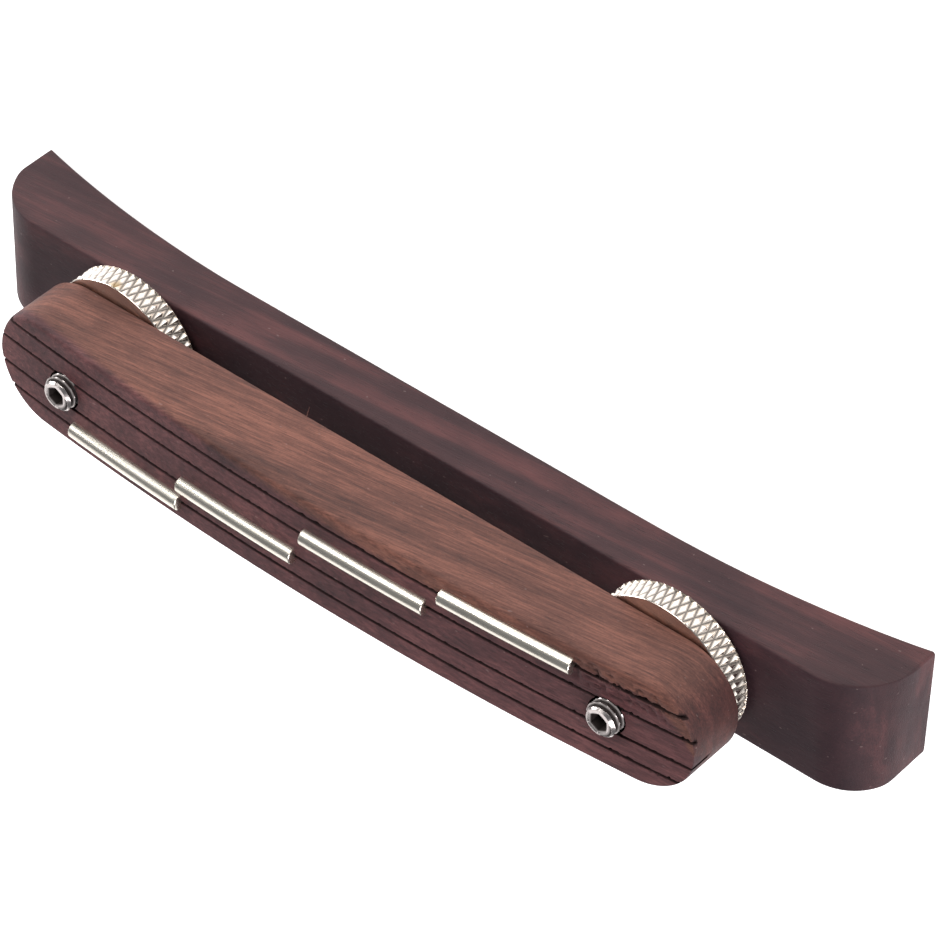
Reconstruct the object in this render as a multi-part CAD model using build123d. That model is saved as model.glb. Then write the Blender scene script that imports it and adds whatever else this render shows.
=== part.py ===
from build123d import *
import math
import os

# Adjustable floating bridge for a four-string arched-top instrument.
# Millimetres. X runs along the bridge, Y across it, +Z up to the strings.
# Origin: middle of the footprint, on the plane that the two foot ends stand on.

# --- base -------------------------------------------------------------------
base_length = 120.4
base_thickness = 14.2
base_height = 10.7
base_corner_radius = 7.4
base_edge_round = 0.4
arch_height = 3.8
arch_flat_length = 54.6

# --- saddle -----------------------------------------------------------------
saddle_length = 94.4
saddle_thickness = 14.1
saddle_end_height = 7.1
saddle_crown_height = 2.7
saddle_end_flat = 0.9
saddle_top_round = 0.9
saddle_bottom_round = 0.3

# --- height adjustment ------------------------------------------------------
stud_spacing = 74.0
stud_diameter = 4.0
stud_proud_of_saddle = 1.35
stud_hole_floor = 1.1
stud_hole_spare_depth = 0.5
stud_end_chamfer = 0.35
socket_across_flats = 2.0
socket_depth = 2.0
saddle_bore_clearance = 0.25
wheel_diameter = 18.0
wheel_thickness = 3.05
wheel_rim_chamfer = 0.3
wheel_bore_chamfer = 0.3
wheel_thread_clearance = 0.05
wheel_base_gap = 0.8
wheel_saddle_gap = 0.05

# --- fret-wire inserts ------------------------------------------------------
kerf_width = 0.5
kerf_depth = 2.6
kerf_inner_offset = 1.8
kerf_outer_offset = 4.5
insert_length = 16.2
insert_width = 2.0
insert_height = 1.0
tang_depth = 1.9
insert_centres = (-27.4, -11.0, 6.5, 24.7)
insert_kerfs = (-kerf_outer_offset, -kerf_inner_offset, kerf_inner_offset, kerf_outer_offset)

# --- how far a cutting shape runs past the face it opens ----------------------
cut_overrun = 1.0

# --- heights that follow from the sizes above -------------------------------
wheel_bottom_z = base_height + wheel_base_gap
wheel_top_z = wheel_bottom_z + wheel_thickness
saddle_bottom_z = wheel_top_z + wheel_saddle_gap
saddle_middle_height = saddle_end_height + saddle_crown_height
saddle_end_radius = (saddle_thickness - saddle_end_flat) / 2
stud_side = {"left": -stud_spacing / 2, "right": stud_spacing / 2}


def arc_radius(half_chord, rise):
    """Radius of the arc that rises by `rise` over `half_chord`."""
    return (half_chord**2 + rise**2) / (2 * rise)


crown_radius = arc_radius(saddle_length / 2, saddle_crown_height)
crown_centre_z = saddle_bottom_z + saddle_middle_height - crown_radius
arch_reach = (base_length - arch_flat_length) / 2
arch_radius = arc_radius(arch_reach, arch_height)


def crown_z_at(x):
    """Height of the saddle's crowned top over x."""
    return crown_centre_z + math.sqrt(crown_radius**2 - x**2)


def underside_z_at(x):
    """Height of the base's arched underside over x."""
    past_flat = max(abs(x) - arch_flat_length / 2, 0)
    return arch_height - arch_radius + math.sqrt(arch_radius**2 - past_flat**2)


stud_hole_bottom_z = underside_z_at(stud_spacing / 2) + stud_hole_floor
stud_bottom_z = stud_hole_bottom_z + stud_hole_spare_depth
stud_top_z = crown_z_at(stud_spacing / 2) + stud_proud_of_saddle


def block_from_side_outline(outline, thickness):
    """Extrude an X-Z outline to both sides of the middle plane."""
    face = make_face(Plane.XZ * outline)
    return extrude(face, amount=thickness / 2, both=True)


def upright_cylinder(x, radius, low_z, high_z):
    """Cylinder on a vertical axis through (x, 0)."""
    middle = (low_z + high_z) / 2
    return Pos(x, 0, middle) * Cylinder(radius, high_z - low_z)


def make_base():
    half = base_length / 2
    shoulder = half - base_corner_radius
    corner_z = base_height - base_corner_radius
    flat = arch_flat_length / 2
    bend = base_corner_radius * math.sqrt(0.5)
    # the underside's end arcs leave its flat middle at a tangent
    mid_x = flat + arch_reach / 2
    mid_z = underside_z_at(mid_x)
    outline = Curve() + [
        Line((half, 0), (half, corner_z)),
        ThreePointArc((half, corner_z), (shoulder + bend, corner_z + bend), (shoulder, base_height)),
        Line((shoulder, base_height), (-shoulder, base_height)),
        ThreePointArc((-shoulder, base_height), (-shoulder - bend, corner_z + bend), (-half, corner_z)),
        Line((-half, corner_z), (-half, 0)),
        ThreePointArc((-half, 0), (-mid_x, mid_z), (-flat, arch_height)),
        Line((-flat, arch_height), (flat, arch_height)),
        ThreePointArc((flat, arch_height), (mid_x, mid_z), (half, 0)),
    ]
    body = block_from_side_outline(outline, base_thickness)
    sides = body.faces().sort_by(Axis.Y)
    rims = sides[0].edges() + sides[-1].edges()
    body = fillet(rims, base_edge_round)
    for x in stud_side.values():
        body -= upright_cylinder(x, stud_diameter / 2, stud_hole_bottom_z, base_height + cut_overrun)
    return body


def crowned_slab(thickness_down):
    """Ring segment under the crown curve, `thickness_down` deep."""
    wide = saddle_length
    outer = Pos(0, 0, crown_centre_z) * Rot(90, 0, 0) * Cylinder(crown_radius, wide)
    inner = Pos(0, 0, crown_centre_z) * Rot(90, 0, 0) * Cylinder(crown_radius - thickness_down, wide)
    return outer - inner


def make_saddle():
    half = saddle_length / 2
    end_z = saddle_bottom_z + saddle_end_height
    crown_z = saddle_bottom_z + saddle_middle_height
    side = Curve() + [
        Line((-half, end_z), (-half, saddle_bottom_z)),
        Line((-half, saddle_bottom_z), (half, saddle_bottom_z)),
        Line((half, saddle_bottom_z), (half, end_z)),
        ThreePointArc((half, end_z), (0, crown_z), (-half, end_z)),
    ]
    plan = RectangleRounded(saddle_length, saddle_thickness, saddle_end_radius)
    pillar = Pos(0, 0, saddle_bottom_z) * extrude(plan, saddle_middle_height)
    body = block_from_side_outline(side, saddle_thickness + cut_overrun) & pillar
    top = body.faces().sort_by(Axis.Z)[-1]
    body = fillet(top.edges(), saddle_top_round)
    bottom = body.faces().sort_by(Axis.Z)[0]
    body = fillet(bottom.edges(), saddle_bottom_round)
    bore = stud_diameter / 2 + saddle_bore_clearance
    for x in stud_side.values():
        body -= upright_cylinder(x, bore, saddle_bottom_z - cut_overrun, crown_z + cut_overrun)
    blade_length = saddle_length + 2 * cut_overrun
    blade_height = 2 * (saddle_middle_height + kerf_depth)
    for y in insert_kerfs:
        blade = Pos(0, y, crown_z) * Box(blade_length, kerf_width, blade_height)
        body -= crowned_slab(kerf_depth) & blade
    return body


def make_stud(x):
    body = upright_cylinder(x, stud_diameter / 2, stud_bottom_z, stud_top_z)
    body = chamfer(body.edges().filter_by(GeomType.CIRCLE), stud_end_chamfer)
    corner_radius = socket_across_flats / math.sqrt(3)
    hexagon = RegularPolygon(corner_radius, 6)
    socket = Pos(x, 0, stud_top_z - socket_depth) * extrude(hexagon, socket_depth + cut_overrun)
    return body - socket


def make_thumbwheel(x):
    body = upright_cylinder(x, wheel_diameter / 2, wheel_bottom_z, wheel_top_z)
    body = chamfer(body.edges().filter_by(GeomType.CIRCLE), wheel_rim_chamfer)
    bore = stud_diameter / 2 + wheel_thread_clearance
    body -= upright_cylinder(x, bore, wheel_bottom_z - cut_overrun, wheel_top_z + cut_overrun)
    narrow = bore + wheel_bore_chamfer / 2
    mouths = body.edges().filter_by(GeomType.CIRCLE).filter_by(lambda e: e.radius < narrow)
    return chamfer(mouths, wheel_bore_chamfer)


def make_insert(centre_x, y):
    """Half-round crown on a tang, bent to the crown of the saddle."""
    half = insert_width / 2
    seat = crown_radius
    crown = make_face(
        Curve() + [
            Line((half, seat), (-half, seat)),
            ThreePointArc((-half, seat), (0, seat + insert_height), (half, seat)),
        ]
    )
    tang = Pos(0, seat - tang_depth / 2) * Rectangle(kerf_width, tang_depth)
    section = Plane.YZ * (crown + tang)
    turn = math.degrees(insert_length / crown_radius)
    middle = math.degrees(math.asin(centre_x / crown_radius))
    bar = revolve(section, Axis.Y, turn)
    bar = Rot(0, middle - turn / 2, 0) * bar
    return Pos(0, y, crown_centre_z) * bar


def write(shape, node):
    export_step(shape, "parts/" + node + ".step")


os.makedirs("parts", exist_ok=True)
write(make_base(), "base")
write(make_saddle(), "saddle")
for side_name, stud_x in stud_side.items():
    write(make_stud(stud_x), "stud_" + side_name)
    write(make_thumbwheel(stud_x), "thumbwheel_" + side_name)
for number, (x, y) in enumerate(zip(insert_centres, insert_kerfs), start=1):
    write(make_insert(x, y), "fret_insert_" + str(number))
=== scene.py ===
import math

import bmesh
import bpy
from mathutils import Matrix, Vector, noise


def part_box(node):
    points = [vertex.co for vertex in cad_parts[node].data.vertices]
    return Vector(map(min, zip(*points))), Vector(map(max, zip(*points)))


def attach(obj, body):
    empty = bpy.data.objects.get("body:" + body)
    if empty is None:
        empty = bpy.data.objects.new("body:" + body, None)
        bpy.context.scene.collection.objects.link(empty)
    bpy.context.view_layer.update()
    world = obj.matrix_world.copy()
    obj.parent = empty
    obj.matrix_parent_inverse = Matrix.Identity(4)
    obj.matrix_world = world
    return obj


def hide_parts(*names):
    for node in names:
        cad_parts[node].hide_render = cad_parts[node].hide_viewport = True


# Adjustable floating bridge: rosewood base and saddle, knurled thumbwheels on threaded studs,
# and four fret-wire inserts. Lengths are in metres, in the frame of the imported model.

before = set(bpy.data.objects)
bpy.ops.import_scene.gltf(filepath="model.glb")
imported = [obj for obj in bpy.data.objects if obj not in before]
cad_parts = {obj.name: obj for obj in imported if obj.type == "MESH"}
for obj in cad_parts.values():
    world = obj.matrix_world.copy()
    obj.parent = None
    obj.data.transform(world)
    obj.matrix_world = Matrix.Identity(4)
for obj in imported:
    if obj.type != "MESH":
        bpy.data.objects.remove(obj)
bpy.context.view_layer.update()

MM = 0.001


def size_of(node):
    """Lowest and highest corner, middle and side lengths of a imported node."""
    low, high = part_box(node)
    return low, high, (low + high) / 2, high - low


# ---------------------------------------------------------------------------
# shader maths
# ---------------------------------------------------------------------------
class Value:
    """A number that changes over a surface. Arithmetic on it adds the Math nodes."""

    def __init__(self, finish, socket):
        self.finish = finish
        self.socket = socket

    def math(self, operation, first, second=0.0, clamp=False):
        settings = {"operation": operation, "use_clamp": clamp}
        return self.finish.node("ShaderNodeMath", settings, {0: first, 1: second})

    def __add__(self, other):
        return self.math("ADD", self, other)

    def __radd__(self, other):
        return self.math("ADD", other, self)

    def __sub__(self, other):
        return self.math("SUBTRACT", self, other)

    def __rsub__(self, other):
        return self.math("SUBTRACT", other, self)

    def __mul__(self, other):
        return self.math("MULTIPLY", self, other)

    def __rmul__(self, other):
        return self.math("MULTIPLY", other, self)

    def __truediv__(self, other):
        return self.math("DIVIDE", self, other)

    def __pow__(self, other):
        return self.math("POWER", self, other)

    def clamped(self):
        return self.math("ADD", self, 0.0, clamp=True)

    def absolute(self):
        return self.math("ABSOLUTE", self)

    def sine(self):
        return self.math("SINE", self)

    def positive(self):
        """The value itself where it is above 0, and 0 elsewhere."""
        return self.math("MAXIMUM", self, 0.0)

    def step(self, low, high):
        """0 below low, 1 above high, and smooth between them."""
        inputs = {0: self, 1: low, 2: high, 3: 0.0, 4: 1.0}
        return self.finish.node("ShaderNodeMapRange", {"interpolation_type": "SMOOTHSTEP"}, inputs)


class Finish:
    """A material in the making: one Principled surface and the nodes that feed it."""

    def __init__(self, name):
        self.material = bpy.data.materials.new(name)
        self.material.use_nodes = True
        self.tree = self.material.node_tree
        self.tree.nodes.clear()
        output = self.tree.nodes.new("ShaderNodeOutputMaterial")
        self.surface = self.tree.nodes.new("ShaderNodeBsdfPrincipled")
        self.tree.links.new(self.surface.outputs[0], output.inputs["Surface"])

    def put(self, socket, value):
        if isinstance(value, Value):
            self.tree.links.new(value.socket, socket)
        elif socket.type == "RGBA" and len(value) == 3:
            socket.default_value = (*value, 1.0)
        else:
            socket.default_value = value

    def node(self, kind, settings=None, inputs=None, output=0):
        """Adds a node of that kind and returns one of its outputs."""
        made = self.tree.nodes.new(kind)
        for key, value in (settings or {}).items():
            if key == "stops":
                self.set_stops(made.color_ramp, value)
            else:
                setattr(made, key, value)
        for key, value in (inputs or {}).items():
            self.put(made.inputs[key], value)
        return Value(self, made.outputs[output])

    def set_stops(self, ramp, stops):
        while len(ramp.elements) < len(stops):
            ramp.elements.new(0.5)
        for element, (place, colour) in zip(ramp.elements, stops):
            element.position = place
            element.color = (*colour, 1.0)

    def place(self):
        return self.node("ShaderNodeTexCoord", output="Object")

    def facing(self):
        """The surface's own direction, in the piece's axes."""
        return self.node("ShaderNodeTexCoord", output="Normal")

    def parts(self, vector):
        inputs = {0: vector}
        return [self.node("ShaderNodeSeparateXYZ", None, inputs, axis) for axis in range(3)]

    def stretched(self, vector, scale, turn=(0, 0, 0), shift=(0, 0, 0)):
        """vector turned, then scaled: larger numbers pack a pattern closer."""
        inputs = {"Vector": vector, "Rotation": turn, "Location": shift}
        turned = self.node("ShaderNodeMapping", None, inputs)
        return self.node("ShaderNodeVectorMath", {"operation": "MULTIPLY"}, {0: turned, 1: scale})

    def cloud(self, vector, detail=3.0, roughness=0.5, distortion=0.0):
        """Soft random pattern with about one feature per unit of vector."""
        inputs = {
            "Vector": vector,
            "Scale": 1.0,
            "Detail": detail,
            "Roughness": roughness,
            "Distortion": distortion,
        }
        return self.node("ShaderNodeTexNoise", None, inputs)

    def ramp(self, value, stops):
        return self.node("ShaderNodeValToRGB", {"stops": stops}, {"Fac": value})

    def mix(self, factor, first, second, blend="MIX"):
        settings = {"data_type": "RGBA", "blend_type": blend}
        return self.node("ShaderNodeMix", settings, {0: factor, 6: first, 7: second}, 2)

    def attribute(self, name):
        return self.node("ShaderNodeAttribute", {"attribute_name": name}, None, "Fac")

    def bump(self, height, distance, strength=1.0):
        inputs = {"Height": height, "Distance": distance, "Strength": strength}
        return self.node("ShaderNodeBump", None, inputs)

    def set(self, **sockets):
        """Feeds the surface: Base_Color=..., Roughness=..., and so on."""
        for name, value in sockets.items():
            self.put(self.surface.inputs[name.replace("_", " ")], value)
        return self.material


# ---------------------------------------------------------------------------
# mesh helpers
# ---------------------------------------------------------------------------
def wobble(place, scale, seed):
    """Smooth random number from -1 to 1 that varies over `scale` metres."""
    return noise.noise(Vector(place) / scale + Vector((seed, 1.7 * seed, -seed)))


def tube_faces(rings, around, closed_along=False):
    """Quads between rings of points, each ring closed on itself."""
    faces = []
    for ring in range(rings if closed_along else rings - 1):
        following = (ring + 1) % rings
        for step in range(around):
            beside = (step + 1) % around
            corners = (ring, step), (ring, beside), (following, beside), (following, step)
            faces.append([row * around + column for row, column in corners])
    return faces


def mesh_piece(name, points, faces, sharp_angle=35):
    """A mesh object with outward faces, smooth except over edges sharper than the angle."""
    mesh = bpy.data.meshes.new(name)
    mesh.from_pydata([tuple(p) for p in points], [], faces)
    shell = bmesh.new()
    shell.from_mesh(mesh)
    bmesh.ops.recalc_face_normals(shell, faces=shell.faces)
    shell.to_mesh(mesh)
    shell.free()
    piece = bpy.data.objects.new(name, mesh)
    bpy.context.scene.collection.objects.link(piece)
    soften(piece, sharp_angle)
    return piece


def soften(piece, sharp_angle):
    mesh = piece.data
    mesh.shade_smooth()
    mesh.set_sharp_from_angle(angle=math.radians(sharp_angle))


def turns(around):
    return [2 * math.pi * step / around for step in range(around)]


def round_point(centre, reach, turn, z):
    """The point at that reach and turn about a vertical axis through centre."""
    return (centre[0] + reach * math.cos(turn), centre[1] + reach * math.sin(turn), z)


def end_caps(rings, around):
    """The two end faces of a tube, as point numbers."""
    last = (rings - 1) * around
    return [list(range(around)), list(range(last, last + around))]


def mark_points(piece, name, values):
    """A number for each point of the mesh, which the finish can read."""
    marks = piece.data.attributes.new(name, "FLOAT", "POINT")
    marks.data.foreach_set("value", values)


def spread(low, high, count):
    return [low + (high - low) * i / (count - 1) for i in range(count)]


def dress(piece, body, node, material):
    """Gives a piece its finish and its body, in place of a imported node."""
    piece.data.materials.clear()
    piece.data.materials.append(material)
    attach(piece, body)
    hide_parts(node)
    return piece


# ---------------------------------------------------------------------------
# finishes
# ---------------------------------------------------------------------------
def dark_cap(finish, place, patches):
    """1 on the saddle's crown, which gets painted shade mixed with the sanded top's purple-grey tone,
    and 0 on its sides.
    The border lies below the near edge at the -X end, and slopes up and inwards as far as the outer
    kerf."""
    soft = (-0.5 * MM, 0.8 * MM)
    far_border = 0.9 * MM
    near_drop = 3.5 * MM
    near_start = -45 * MM
    near_slope = 0.062
    near_inset = 2.6 * MM
    waviness = 0.9 * MM
    x, y, z = finish.parts(place)
    below = saddle_high.z - x * x / (2 * crown_radius) - z
    past_straight = (x.absolute() - (saddle_size.x / 2 - saddle_end_radius)).positive()
    rounded = (saddle_end_radius * saddle_end_radius - past_straight * past_straight) ** 0.5
    from_edge = below + y.absolute() - (rounded + saddle_end_flat / 2)
    near_side = y.step(-MM, MM)
    near_border = (near_drop - (x - near_start) * near_slope).positive() - near_inset
    border = near_side * near_border + (1.0 - near_side) * far_border + (patches - 0.5) * waviness
    return 1.0 - (from_edge - border).step(*soft)


def wood_grain(finish, place, turn, shift):
    """The patterns that rosewood is mixed from, each drawn out along X."""

    def drawn_out(length, width, depth=4.0):
        scale = (1 / (length * MM), 1 / (width * depth * MM), 1 / (width * MM))
        return finish.stretched(place, scale, turn, shift)

    bands = finish.cloud(drawn_out(60, 2.4), 2.0, 0.55, 0.4)
    streaks = finish.cloud(drawn_out(11, 0.5), 4.0, 0.62, 0.5)
    fibre = finish.cloud(drawn_out(3.0, 0.15, 2.5), 3.0, 0.65, 0.3)
    patches = finish.cloud(drawn_out(9, 5.0, 1.0), 2.0, 0.5)
    pores = finish.cloud(drawn_out(1.7, 0.11, 1.5), 1.0, 0.4).step(0.66, 0.74)
    return bands, streaks, fibre, patches, pores


def rosewood(name, dark, middle, light, tilt, seed, banding, fineness, top_shade_tint, end_tint, capped=False):
    """Oiled rosewood with its grain along X: growth bands, fine fibre, pores, painted shade on top faces
    and painted shade in sawn kerfs, bores and torn chips.
    """
    finish = Finish(name)
    place = finish.place()
    turn = (0, math.radians(tilt), 0)
    shift = (seed, seed * 0.37, seed * 0.61)
    bands, streaks, fibre, patches, pores = wood_grain(finish, place, turn, shift)
    speckle = finish.cloud(finish.stretched(place, (4200, 5200, 5200)), 2.0, 0.6)
    broad = bands * 0.62 + patches * 0.38 - 0.5
    fine = streaks * 0.38 + fibre * 0.47 + speckle * 0.15 - 0.5
    tone = broad * banding + fine * fineness + 0.5
    colour = finish.ramp(tone, [(0.15, dark), (0.5, middle), (0.9, light)])
    side_x, _, side_z = finish.parts(finish.facing())
    # painted shade: faces that look up are darkened and cooled; on the saddle's crown this also carries
    # the sanded top's purple-grey tone
    top_shade = dark_cap(finish, place, patches) if capped else side_z.step(0.45, 0.97)
    colour = finish.mix(top_shade, colour, finish.mix(1.0, colour, top_shade_tint, "MULTIPLY"))
    endside = side_x.absolute().step(0.35, 0.95)
    colour = finish.mix(endside, colour, finish.mix(1.0, colour, end_tint, "MULTIPLY"))
    deep = tuple(part * 0.3 for part in dark)
    colour = finish.mix(pores * 0.45, colour, deep)
    dust = finish.cloud(finish.stretched(place, (1500, 2600, 2600), turn, shift), 0.0)
    flecks = dust.step(0.82, 0.86)
    colour = finish.mix(flecks * 0.22, colour, (0.26, 0.19, 0.18))
    # painted shade: near-black in the kerfs and bores, and partly in torn chips; these sawn faces are
    # also rougher
    cut_shade = finish.attribute("cut")
    colour = finish.mix(cut_shade * 0.9, colour, (0.010, 0.0038, 0.0042))
    roughness = (0.50 + streaks * 0.12 + speckle * 0.12 + cut_shade * 0.25).clamped()
    relief = fibre * 0.7 + streaks * 0.5 + speckle * 0.35 - pores * 0.8
    normal = finish.bump(relief, 0.06 * MM, 0.6)
    finish.set(Specular_IOR_Level=0.24, Roughness=roughness, Normal=normal)
    return finish.set(Base_Color=colour)


def knurled_nickel(name, axis_offset, stain_at):
    """Bright nickel: turned faces, painted shade in the knurl grooves and one small amber stain."""
    turning_pitch = 0.16 * MM
    finish = Finish(name)
    place = finish.place()
    x, y, z = finish.parts(place)
    inward = x.absolute() - axis_offset
    radius = (inward * inward + y * y) ** 0.5
    rings = (radius * (2 * math.pi / turning_pitch)).sine() * 0.5 + 0.5
    haze = finish.cloud(finish.stretched(place, (420, 420, 420)), 3.0)
    painted_groove_shade = finish.attribute("groove")
    colour = finish.mix(haze, (0.68, 0.61, 0.54), (0.92, 0.86, 0.79))
    # painted shade: near-black and less metallic in the knurl grooves
    colour = finish.mix((painted_groove_shade * 0.95).clamped(), colour, (0.045, 0.036, 0.032))
    ends = {0: place, 1: stain_at}
    gap = finish.node("ShaderNodeVectorMath", {"operation": "DISTANCE"}, ends, "Value")
    stain = (1.0 - gap.step(0.25 * MM, 1.0 * MM)) * (0.4 + haze)
    colour = finish.mix(stain.clamped() * 0.75, colour, (0.38, 0.24, 0.07))
    roughness = (0.15 + haze * 0.12 + painted_groove_shade * 0.35 + stain * 0.2).clamped()
    dents = finish.cloud(finish.stretched(place, (1300, 1300, 1300)), 1.0)
    normal = finish.bump(rings * 0.1 + haze * 0.2 + dents, 0.04 * MM, 0.5)
    bare = (1.0 - painted_groove_shade * 0.7).clamped()
    finish.set(Metallic=bare, Specular_IOR_Level=0.2)
    return finish.set(Base_Color=colour, Roughness=roughness, Normal=normal)


def stud_steel(name):
    """Plated screw steel, with painted shade down in the thread and the socket."""
    finish = Finish(name)
    place = finish.place()
    painted_groove_shade = finish.attribute("groove")
    haze = finish.cloud(finish.stretched(place, (900, 900, 900)), 3.0)
    colour = finish.mix(haze, (0.50, 0.46, 0.445), (0.70, 0.65, 0.63))
    # painted shade: near-black in the thread roots and the socket
    colour = finish.mix(painted_groove_shade.clamped(), colour, (0.020, 0.015, 0.014))
    roughness = (0.16 + haze * 0.12 + painted_groove_shade * 0.4).clamped()
    normal = finish.bump(haze, 0.003 * MM, 0.4)
    bare = (1.0 - painted_groove_shade).clamped()
    finish.set(Metallic=bare, Specular_IOR_Level=0.2)
    return finish.set(Base_Color=colour, Roughness=roughness, Normal=normal)


def fret_wire(name):
    """Polished nickel silver with fine draw lines along the wire."""
    finish = Finish(name)
    place = finish.place()
    lines = finish.cloud(finish.stretched(place, (60, 9000, 9000)), 3.0, 0.6)
    haze = finish.cloud(finish.stretched(place, (260, 900, 900)), 3.0)
    colour = finish.mix(haze, (0.74, 0.70, 0.60), (0.84, 0.81, 0.73))
    roughness = (0.24 + lines * 0.03 + haze * 0.04).clamped()
    normal = finish.bump(lines, 0.0002 * MM, 0.3)
    return finish.set(Metallic=1.0, Base_Color=colour, Roughness=roughness, Normal=normal)


def paper(name):
    """The pale floor: matt, with a faint mottling."""
    finish = Finish(name)
    mottle = finish.cloud(finish.stretched(finish.place(), (30, 30, 30)), 3.0)
    colour = finish.mix(mottle, (0.90, 0.90, 0.90), (0.93, 0.93, 0.93))
    finish.set(Emission_Color=(1.0, 1.0, 1.0), Emission_Strength=0.80, Roughness=0.9)
    return finish.set(Base_Color=colour, Specular_IOR_Level=0.1)


# ---------------------------------------------------------------------------
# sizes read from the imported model, and the details that it leaves out
# ---------------------------------------------------------------------------
base_high, base_size = size_of("base")[1::2]
saddle_low, saddle_high, saddle_middle, saddle_size = size_of("saddle")
stud_low, _, stud_middle, stud_size = size_of("stud_right")
wheel_high, wheel_size = size_of("thumbwheel_right")[1::2]

stud_offset = stud_middle.x

base_arch_height = 3.8 * MM
base_arch_flat = 54.6 * MM
base_corner = 7.4 * MM
base_edge = 0.35 * MM
worn_corner = 5.9 * MM

saddle_crown_rise = 2.7 * MM
saddle_end_flat = 0.9 * MM
saddle_end_radius = (saddle_size.y - saddle_end_flat) / 2
saddle_near_edge = 0.9 * MM
saddle_far_edge = 0.4 * MM
saddle_bottom_edge = 0.35 * MM
bore_radius = 2.25 * MM
kerf_width = 0.39 * MM
kerf_depth = 2.6 * MM
lip_depth = 0.12 * MM
torn_middle = 38.5 * MM
torn_half_length = 6.5 * MM
torn_half_width = 1.9 * MM
torn_deepest = 0.7 * MM
run_out_start = 40 * MM
run_out_length = 4 * MM
run_out_share = 0.78

insert_height = 1.0 * MM
insert_width = size_of("fret_insert_2")[3].y
tang_depth = 1.9 * MM
filed_end = 0.07 * MM

thread_pitch = 0.7 * MM
thread_depth = 0.42 * MM
crest_share = 0.07
flank_share = 0.30
stud_chamfer = 0.42 * MM
socket_flats = 2.0 * MM
socket_depth = 2.0 * MM
socket_mouth = 1.22 * MM

knurl_teeth = 56
knurl_depth = 0.36 * MM
knurl_lead = 2.7 * MM
knurl_fade = 0.03 * MM
wheel_bevel = 0.07 * MM
wheel_ring = 0.01 * MM
wheel_bore_gap = 0.05 * MM
wheel_rim_gap = 0.02 * MM

inserts = ["fret_insert_" + str(number) for number in range(1, 5)]
kerf_places = [size_of(node)[2].y for node in inserts]


def arc_radius(half_chord, rise):
    return (half_chord**2 + rise**2) / (2 * rise)


crown_radius = arc_radius(saddle_size.x / 2, saddle_crown_rise)
arch_radius = arc_radius((base_size.x - base_arch_flat) / 2, base_arch_height)


def crown_z(x):
    """Height of the saddle's top over x."""
    return saddle_high.z - crown_radius + math.sqrt(crown_radius**2 - x * x)


def rounded_section(half_width, low, high, low_edge, near_edge, far_edge, counts):
    """Closed (y, z) outline across the bridge; near is the +Y upper corner, far the -Y one."""
    flat_count, side_count, corner_count = counts
    outline = []

    def corner(y, z, radius, start):
        for i in range(corner_count):
            angle = math.radians(start + 90 * i / (corner_count - 1))
            outline.append((y + radius * math.cos(angle), z + radius * math.sin(angle)))

    def run(start, end, count):
        for i in range(1, count):
            share = i / count
            outline.append(tuple(a + (b - a) * share for a, b in zip(start, end)))

    widest = half_width * 0.9
    low_edge, near_edge, far_edge = (min(edge, widest) for edge in (low_edge, near_edge, far_edge))
    corner(half_width - low_edge, low + low_edge, low_edge, -90)
    run((half_width, low + low_edge), (half_width, high - near_edge), side_count)
    corner(half_width - near_edge, high - near_edge, near_edge, 0)
    run((half_width - near_edge, high), (far_edge - half_width, high), flat_count)
    corner(far_edge - half_width, high - far_edge, far_edge, 90)
    run((-half_width, high - far_edge), (-half_width, low + low_edge), side_count)
    corner(low_edge - half_width, low + low_edge, low_edge, 180)
    run((low_edge - half_width, low), (half_width - low_edge, low), flat_count)
    return outline


def end_stations(half_length, edge, steps):
    """Places along a rounded end: x, and how far the outline draws in there."""
    angles = spread(0, math.pi / 2, steps)
    return [(half_length - edge + edge * math.sin(a), edge * (1 - math.cos(a))) for a in angles]


def close_ends(points, faces, around, rings):
    """Fills the two end outlines with a fan about a middle point."""
    for ring in (0, rings - 1):
        outline = points[ring * around : (ring + 1) * around]
        middle = sum((Vector(point) for point in outline), Vector()) / around
        points.append(tuple(middle))
        hub = len(points) - 1
        for step in range(around):
            faces.append([ring * around + step, ring * around + (step + 1) % around, hub])


# ---------------------------------------------------------------------------
# base
# ---------------------------------------------------------------------------
def shoulder_drop(x, radius):
    """How far the base's rounded end falls below its flat top over x."""
    past = max(abs(x) - (base_size.x / 2 - radius), 0)
    return radius - math.sqrt(max(radius**2 - past**2, 0))


def base_underside(x):
    past_flat = max(abs(x) - base_arch_flat / 2, 0)
    return max(base_arch_height - arch_radius + math.sqrt(arch_radius**2 - past_flat**2), 0)


def base_top(x, y):
    """The +X end is sanded squarer towards -Y than the other corners."""
    share = min(max(0.5 - y / base_size.y, 0), 1)
    radius = base_corner + (worn_corner - base_corner) * share if x > 0 else base_corner
    return base_high.z - shoulder_drop(x, radius)


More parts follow.
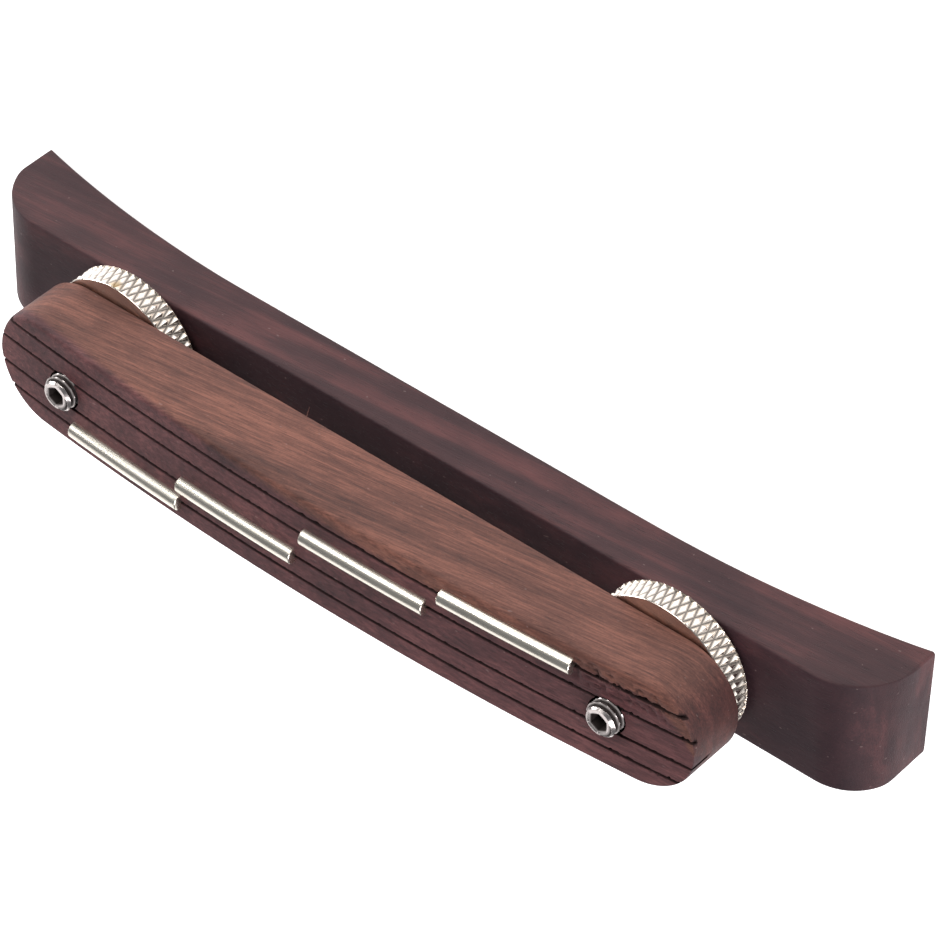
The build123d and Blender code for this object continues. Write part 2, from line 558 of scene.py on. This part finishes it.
def make_base(material):
    half = base_size.x / 2
    shoulder = half - base_corner
    straight = spread(0, shoulder, 90)[:-1]
    curve = [shoulder + base_corner * math.sin(a) for a in spread(0, math.pi / 2, 46)]
    curve = [x for x in curve if x < half - base_edge]
    rounding = end_stations(half, base_edge, 6)
    ends = [(x, 0.0) for x in straight + curve] + rounding
    stations = [(-x, inset) for x, inset in reversed(ends[1:])] + ends
    counts = (30, 22, 6)
    edges = (base_edge, base_edge, base_edge)
    points = []
    for x, inset in stations:
        low = base_underside(x) + inset * 0.5
        high = base_high.z
        section = rounded_section(base_size.y / 2 - inset, low, high, *edges, counts)
        for y, z in section:
            top = max(base_top(x, y) - inset, low + 4 * base_edge)
            sink = 0.03 * MM * (1 + wobble((x, y, z), 9 * MM, 3.1))
            sink += 0.01 * MM * (1 + wobble((x, y, z), 1.6 * MM, 8.2))
            length = 1 - sink / half * 0.5
            width = 1 - sink / (base_size.y / 2)
            lowered = z - (high - top) * (z - low) / (high - low)
            points.append((x * length, y * width, lowered))
    around = len(section)
    faces = tube_faces(len(stations), around)
    close_ends(points, faces, around, len(stations))
    base = mesh_piece("base_wood", points, faces, 50)
    for side in (-1, 1):
        drill(base, side * stud_offset, stud_size.x / 2, stud_low.z, base_high.z + MM)
    soften(base, 50)
    return dress(base, "base", "base", material)


def cutter_cylinder(x, radius, low, high, around=72):
    points = [round_point((x, 0), radius, turn, z) for z in (low, high) for turn in turns(around)]
    return mesh_piece("cutter", points, tube_faces(2, around) + end_caps(2, around))


def cut(piece, tool):
    """Takes the tool's volume out of the piece and removes the tool."""
    change = piece.modifiers.new("cut", "BOOLEAN")
    change.operation = "DIFFERENCE"
    change.solver = "EXACT"
    change.object = tool
    graph = bpy.context.evaluated_depsgraph_get()
    result = bpy.data.meshes.new_from_object(piece.evaluated_get(graph))
    piece.modifiers.clear()
    old = piece.data
    piece.data = result
    bpy.data.meshes.remove(old)
    bpy.data.objects.remove(tool)


def drill(piece, x, radius, low, high):
    cut(piece, cutter_cylinder(x, radius, low, high))


# ---------------------------------------------------------------------------
# saddle
# ---------------------------------------------------------------------------
def saddle_half_width(x):
    past = max(abs(x) - (saddle_size.x / 2 - saddle_end_radius), 0)
    return saddle_size.y / 2 - saddle_end_radius + math.sqrt(max(saddle_end_radius**2 - past**2, 0))


def make_saddle_body():
    half = saddle_size.x / 2
    shoulder = half - saddle_end_radius
    straight = spread(0, shoulder, 130)[:-1]
    curve = [shoulder + saddle_end_radius * math.sin(a) for a in spread(0, math.pi / 2, 44)]
    ends = straight + curve
    stations = [-x for x in reversed(ends[1:])] + ends
    edges = (saddle_bottom_edge, saddle_near_edge, saddle_far_edge)
    counts = (40, 14, 7)
    points = []
    for x in stations:
        section = rounded_section(saddle_half_width(x), saddle_low.z, crown_z(x), *edges, counts)
        near_end = (abs(x) / half) ** 8
        for y, z in section:
            sink = 0.02 * MM * (1 + wobble((x, y, z), 8 * MM, 5.3))
            sink += 0.008 * MM * (1 + wobble((x, y, z), 1.2 * MM, 2.9))
            drawn_in = 0.02 * MM * (1 + wobble((x, y, z), 6 * MM, 9.4)) * near_end
            length = 1 - drawn_in / half
            width = 1 - sink / (saddle_size.y / 2)
            torn = torn_depth(x, y) if z > saddle_middle.z else 0
            points.append((x * length, y * width, z - torn))
    around = len(section)
    faces = tube_faces(len(stations), around)
    close_ends(points, faces, around, len(stations))
    return mesh_piece("saddle_wood", points, faces, 40)


def raggedness(x, y, seed):
    """How far the kerf's lip has broken away at x: worst past the last insert on the near side."""
    fine = max(wobble((x, y, 0), 0.5 * MM, seed), 0)
    coarse = max(wobble((x, y, 0), 2.3 * MM, seed + 3), 0)
    towards_end = 1 / (1 + math.exp(-(x - 30 * MM) / (1.5 * MM)))
    near_side = 1.0 if y > 3 * MM else 0.45
    torn = 1.6 * towards_end * near_side * fine * (coarse + 0.05)
    return (0.17 * fine + 0.20 * coarse * fine + min(torn, 0.28) + 0.01) * MM


def torn_depth(x, y):
    """Small splinters lost from the crown past the last insert."""
    across = max(1 - abs(y - kerf_places[3] + 0.2 * MM) / torn_half_width, 0)
    along = max(1 - abs(x - torn_middle) / torn_half_length, 0)
    flakes = max(wobble((x, 1.8 * y, 0), 0.8 * MM, 17.0) - 0.05, 0)
    return torn_deepest * flakes * min(2.5 * across, 1) * min(2.5 * along, 1)


def kerf_reach(x, y):
    """Depth of a kerf at x: the two on the +Y side run out shallow at the worn end."""
    run_out = min(max((x - run_out_start) / run_out_length, 0), 1) if y > 0 else 0
    return kerf_depth * (1 - run_out_share * run_out)


def make_kerf_blade(y, seed):
    """A saw blade's worth of air under the crown, its upper lips ragged."""
    half_length = saddle_size.x / 2
    stations = spread(-half_length - MM, half_length + MM, 620)
    half = kerf_width / 2
    points = []
    for x in stations:
        top = crown_z(min(max(x, -half_length), half_length))
        floor = top - kerf_reach(x, y)
        far_torn = raggedness(x, y, seed)
        near_torn = raggedness(x, y, seed + 20)
        drift = 0.03 * MM * wobble((x, y, 0), 9 * MM, seed + 40)
        section = [
            (half, floor),
            (half, top - lip_depth - 0.6 * near_torn),
            (half + near_torn, top + 0.02 * MM),
            (half + near_torn, top + MM),
            (-half - far_torn, top + MM),
            (-half - far_torn, top + 0.02 * MM),
            (-half, top - lip_depth - 0.6 * far_torn),
            (-half, floor),
        ]
        points += [(x, y + drift + across, z) for across, z in section]
    rings, around = len(stations), len(section)
    return mesh_piece("blade", points, tube_faces(rings, around) + end_caps(rings, around))


def opened_by_tools(x, y, below):
    """True where a drill or a saw has been, below that far under the crown."""
    if math.hypot(abs(x) - stud_offset, y) - bore_radius < 0.02 * MM and below > 0.05 * MM:
        return True
    nearest = min(kerf_places, key=lambda place: abs(y - place))
    in_kerf = abs(y - nearest) < kerf_width * 0.75
    return in_kerf and 0.06 * MM < below < kerf_reach(x, nearest) * 1.05


def mark_cut_wood(saddle):
    """Marks what a saw or drill has opened, and the shallow torn chips, for the painted shade that the
    finish puts in these recesses.
    """
    marks = []
    for vertex in saddle.data.vertices:
        x, y, z = vertex.co
        below = crown_z(min(abs(x), saddle_size.x / 2)) - z
        # torn chips near the crown get part of the painted shade
        torn = min(torn_depth(x, y) / (0.25 * MM), 1) * 0.7 if below < 0.4 * MM else 0.0
        marks.append(1.0 if opened_by_tools(x, y, below) else torn)
    mark_points(saddle, "cut", marks)


def make_saddle(material):
    saddle = make_saddle_body()
    for side in (-1, 1):
        drill(saddle, side * stud_offset, bore_radius, saddle_low.z - MM, saddle_high.z + MM)
    for number, y in enumerate(kerf_places):
        cut(saddle, make_kerf_blade(y, 4.0 + 7 * number))
    mark_cut_wood(saddle)
    soften(saddle, 40)
    return dress(saddle, "saddle", "saddle", material)


def make_splinter(material):
    """One lifted fibre on the saddle's lower edge."""
    root = Vector((-9.6 * MM, saddle_size.y / 2 - 0.12 * MM, saddle_low.z + 0.25 * MM))
    reach = Vector((-0.35, 0.9, -0.75)).normalized() * 1.3 * MM
    curl = Vector((0.5, 0.1, 0.2)) * MM * 0.45
    rings, around = 9, 6
    points = []
    for share in spread(0, 1, rings):
        centre = root + reach * share + curl * share * share
        thickness = 0.075 * MM * (1 - share) ** 0.7 + 0.006 * MM
        for turn in turns(around):
            outward = Vector((math.cos(turn), 0.4 * math.sin(turn), math.sin(turn)))
            points.append(centre + outward * thickness)
    faces = tube_faces(rings, around) + end_caps(rings, around)
    splinter = mesh_piece("saddle_splinter", points, faces)
    splinter.data.materials.append(material)
    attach(splinter, "saddle")
    return splinter


# ---------------------------------------------------------------------------
# thumbwheels
# ---------------------------------------------------------------------------
def knurl_height(turn, z):
    """0 in the grooves and 1 on the flat-topped diamonds."""
    along = knurl_teeth * turn / (2 * math.pi)
    climb = z / knurl_lead
    heights = []
    for slope in (climb, -climb):
        share = (along + slope) % 1.0
        heights.append(1 - abs(2 * share - 1))
    return min(min(heights) * 1.1, 1.0)


def wheel_face(rim, face_z, inner_z):
    """Rows across one turned face, from the bore out to the rim: radius, height, not knurled."""
    bore = stud_size.x / 2 + wheel_bore_gap
    rows = [(bore, inner_z), (bore + wheel_bevel, face_z), (rim * 0.55, face_z)]
    rows += [(rim - wheel_bevel, face_z), (rim - wheel_rim_gap, inner_z)]
    return [(radius, z, False) for radius, z in rows]


def make_wheel(node, body, material):
    low, high, middle, size = size_of(node)
    rim = size.x / 2
    around = knurl_teeth * 14
    band_low = low.z + wheel_bevel + wheel_ring
    band_high = high.z - wheel_bevel - wheel_ring
    band = [band_low] + spread(band_low + knurl_fade, band_high - knurl_fade, 27) + [band_high]
    rows = wheel_face(rim, low.z, low.z + wheel_bevel)
    rows += [(rim, z, True) for z in band]
    rows += reversed(wheel_face(rim, high.z, high.z - wheel_bevel))
    points = []
    knurl_shades = []
    for radius, z, knurled in rows:
        edge = min(z - band_low, band_high - z) / knurl_fade
        cutting = min(max(edge, 0.0), 1.0) if knurled else 0.0
        for turn in turns(around):
            depth = (1 - knurl_height(turn, z - middle.z)) * cutting
            points.append(round_point(middle, radius - knurl_depth * depth, turn, z))
            # painted shade in the deeper half of each knurl groove
            knurl_shades.append(max(0.0, 2 * depth - 1))
    faces = tube_faces(len(rows), around, closed_along=True)
    wheel = mesh_piece(node + "_knurled", points, faces, 38)
    mark_points(wheel, "groove", knurl_shades)
    return dress(wheel, body, node, material)


# ---------------------------------------------------------------------------
# studs
# ---------------------------------------------------------------------------
def thread_radius(turn, z, outer):
    """Right-hand thread: flat crest, straight flanks, flat root."""
    share = (z / thread_pitch - turn / (2 * math.pi)) % 1.0
    from_crest = min(share, 1 - share)
    depth = min(max((from_crest - crest_share) / flank_share, 0.0), 1.0)
    return outer - thread_depth * depth, depth


def hexagon_reach(turn):
    """From the middle of the socket to its wall."""
    corner = math.pi / 3
    return socket_flats / 2 / math.cos((turn + corner / 2) % corner - corner / 2)


def threaded_rows(low, high, middle, outer, around):
    points = []
    marks = []
    for z in spread(low.z, high.z, round((high.z - low.z) / (0.06 * MM))):
        limit = outer - stud_chamfer + min(z - low.z, high.z - z)
        for turn in turns(around):
            radius, depth = thread_radius(turn, z, outer)
            points.append(round_point(middle, min(radius, limit), turn, z))
            # painted shade down the flanks and in the thread roots
            marks.append(min(depth * 2.2, 1.0) if radius <= limit else 0.0)
    return points, marks


def socket_rows(top, middle, around):
    """The hexagonal socket, down from its round mouth to its drilled bottom."""
    points = [round_point(middle, socket_mouth, turn, top) for turn in turns(around)]
    # painted shade inside the socket: none at the mouth, full further down
    marks = [0.0] * around
    for depth, mark in ((0.06 * MM, 0.9), (socket_depth * 0.1, 1.0), (socket_depth, 1.0)):
        points += [round_point(middle, hexagon_reach(turn), turn, top - depth) for turn in turns(around)]
        marks += [mark] * around
    bottom = top - socket_depth - 0.25 * MM
    points += [round_point(middle, 0.35 * MM, turn, bottom) for turn in turns(around)]
    marks += [1.0] * around
    return points, marks


def make_stud(node, body, material):
    low, high, middle, size = size_of(node)
    around = 72
    outside, outside_marks = threaded_rows(low, high, middle, size.y / 2, around)
    inside, inside_marks = socket_rows(high.z, middle, around)
    rings = (len(outside) + len(inside)) // around
    faces = tube_faces(rings, around) + end_caps(rings, around)
    stud = mesh_piece(node + "_threaded", outside + inside, faces, 32)
    mark_points(stud, "groove", outside_marks + inside_marks)
    return dress(stud, body, node, material)


# ---------------------------------------------------------------------------
# fret-wire inserts
# ---------------------------------------------------------------------------
def insert_section():
    """Outline across the wire: (y, height over the wood) of the crown, then of the tang."""
    half = insert_width / 2
    crown = []
    for angle in spread(0.0, math.pi, 49):
        crown.append((half * math.cos(angle), insert_height * math.sin(angle) ** 0.92))
    side = kerf_width / 2
    return crown, [(-side, 0.0), (-side, -tang_depth), (side, -tang_depth), (side, 0.0)]


def insert_stations(low, high):
    """Places along the wire, each with how far its file-rounded end draws in there."""
    rounding = [(0, 1), (filed_end * 0.4, 0.35), (filed_end, 0)]
    stations = [(low + along, drawn) for along, drawn in rounding]
    stations += [(x, 0) for x in spread(low + filed_end, high - filed_end, 40)[1:-1]]
    stations += [(high - along, drawn) for along, drawn in reversed(rounding)]
    return stations


def make_insert(node, body, material, seed):
    """Half-round crown on its tang, bent to the saddle's crown, ends snipped and filed."""
    low, high, middle, size = size_of(node)
    centre_z = saddle_high.z - crown_radius
    crown, tang = insert_section()
    stations = insert_stations(low.x, high.x)
    points = []
    for x, drawn in stations:
        turn = math.asin(x / crown_radius)
        bow = 0.006 * MM * (wobble((x, 0, 0), 7 * MM, seed) - 1)
        shrink = 1 - drawn * filed_end / (insert_width / 2)
        for y, rise in crown + tang:
            reach = crown_radius + rise
            if rise > 0.2 * MM:
                reach -= filed_end * drawn
            if rise > 0:
                reach += bow
            height = centre_z + reach * math.cos(turn)
            points.append((reach * math.sin(turn), middle.y + y * shrink, height))
    around = len(crown) + len(tang)
    faces = tube_faces(len(stations), around)
    last = (len(stations) - 1) * around
    for start in (0, last):
        faces.append([start + i for i in range(len(crown))])
        faces.append([start + i for i in range(len(crown) - 1, around)] + [start])
    wire = mesh_piece(node + "_wire", points, faces, 30)
    return dress(wire, body, node, material)


# ---------------------------------------------------------------------------
# studio: camera, floor and lights
# ---------------------------------------------------------------------------
view_target = Vector((8.7, 7.35, 10.25)) * MM
view_azimuth = 145.35
view_elevation = 35.2
view_roll = -128.2
view_distance = 0.5
lens_length = 186.8
sensor_side = 36.0


def direction(azimuth, elevation):
    """Unit vector from the bridge: azimuth 0 is the -Y side, 90 the +X side."""
    a, e = math.radians(azimuth), math.radians(elevation)
    return Vector((math.sin(a) * math.cos(e), -math.cos(a) * math.cos(e), math.sin(e)))


def make_camera():
    data = bpy.data.cameras.new("camera")
    data.lens = lens_length
    data.sensor_width = sensor_side
    data.clip_start = 0.01
    data.clip_end = 20
    camera = bpy.data.objects.new("camera", data)
    bpy.context.scene.collection.objects.link(camera)
    outward = direction(view_azimuth, view_elevation)
    looking = (-outward).to_track_quat("-Z", "Y").to_matrix().to_4x4()
    rolled = looking @ Matrix.Rotation(math.radians(view_roll), 4, "Z")
    camera.matrix_world = Matrix.Translation(view_target + outward * view_distance) @ rolled
    bpy.context.scene.camera = camera


def make_floor():
    side = 6.0
    count = 24
    lines = spread(-side / 2, side / 2, count + 1)
    points = [(x, y, -0.2 * MM) for x in lines for y in lines]
    faces = []
    for i in range(count):
        for j in range(count):
            first = i * (count + 1) + j
            faces.append([first, first + 1, first + count + 2, first + count + 1])
    floor = mesh_piece("floor", points, faces)
    floor.data.materials.append(paper("pale_floor"))


def make_light(name, azimuth, elevation, distance, sides, power, tint):
    data = bpy.data.lights.new(name, "AREA")
    data.shape = "RECTANGLE"
    data.size, data.size_y = sides
    data.energy = power
    data.color = tint
    light = bpy.data.objects.new(name, data)
    bpy.context.scene.collection.objects.link(light)
    outward = direction(azimuth, elevation)
    facing_in = outward.to_track_quat("Z", "Y").to_matrix().to_4x4()
    light.matrix_world = Matrix.Translation(outward * distance) @ facing_in


def make_world():
    world = bpy.data.worlds.new("studio")
    world.use_nodes = True
    ground = world.node_tree.nodes["Background"]
    ground.inputs["Color"].default_value = (0.95, 0.96, 1.0, 1.0)
    ground.inputs["Strength"].default_value = 0.19
    bpy.context.scene.world = world


def make_studio():
    make_world()
    make_floor()
    make_light("side_softbox", 194, 30, 0.9, (0.5, 0.5), 6.2, (1.0, 0.975, 0.95))
    make_light("back_softbox", 325, 20, 0.9, (1.3, 0.65), 3.3, (1.0, 0.96, 0.96))
    make_light("left_softbox", 250, 25, 0.5, (0.2, 0.2), 1.5, (1.0, 0.98, 0.98))
    make_light("right_softbox", 78, 34, 0.6, (0.3, 0.3), 3.0, (1.0, 0.97, 0.99))
    bpy.context.scene.view_settings.view_transform = "Standard"


# ---------------------------------------------------------------------------
# assembly
# ---------------------------------------------------------------------------
def base_finish():
    return rosewood(
        "base_rosewood",
        dark=(0.024, 0.0100, 0.0125),
        middle=(0.040, 0.0165, 0.0185),
        light=(0.092, 0.032, 0.032),
        tilt=-5.0,
        seed=2.9,
        banding=2.1,
        fineness=0.9,
        # painted shade: darkens the base's top, most of it down in the gap under the saddle
        top_shade_tint=(0.80, 0.82, 0.92),
        end_tint=(1.0, 1.0, 1.05),
    )


def saddle_finish():
    return rosewood(
        "saddle_rosewood",
        dark=(0.040, 0.017, 0.014),
        middle=(0.098, 0.0395, 0.0295),
        light=(0.21, 0.086, 0.060),
        tilt=-8.0,
        seed=1.3,
        banding=1.1,
        fineness=1.9,
        # painted shade on the crown, mixed with the sanded top's purple-grey tone
        top_shade_tint=(0.68, 0.64, 0.92),
        end_tint=(0.50, 0.41, 0.50),
        capped=True,
    )


def make_bridge():
    base_wood = base_finish()
    saddle_wood = saddle_finish()
    left_wheel = (-stud_offset, 0)
    stain_at = round_point(left_wheel, wheel_size.x / 2, math.radians(93), wheel_high.z - 0.7 * MM)
    nickel = knurled_nickel("knurled_nickel", stud_offset, stain_at)
    screw = stud_steel("screw_steel")
    wire = fret_wire("nickel_silver_wire")
    make_base(base_wood)
    make_saddle(saddle_wood)
    make_splinter(saddle_wood)
    for side in ("left", "right"):
        make_wheel("thumbwheel_" + side, "thumbwheel_" + side, nickel)
        make_stud("stud_" + side, "base", screw)
    for number, node in enumerate(inserts):
        make_insert(node, "saddle", wire, 11.0 + number)


make_camera()
make_bridge()
make_studio()
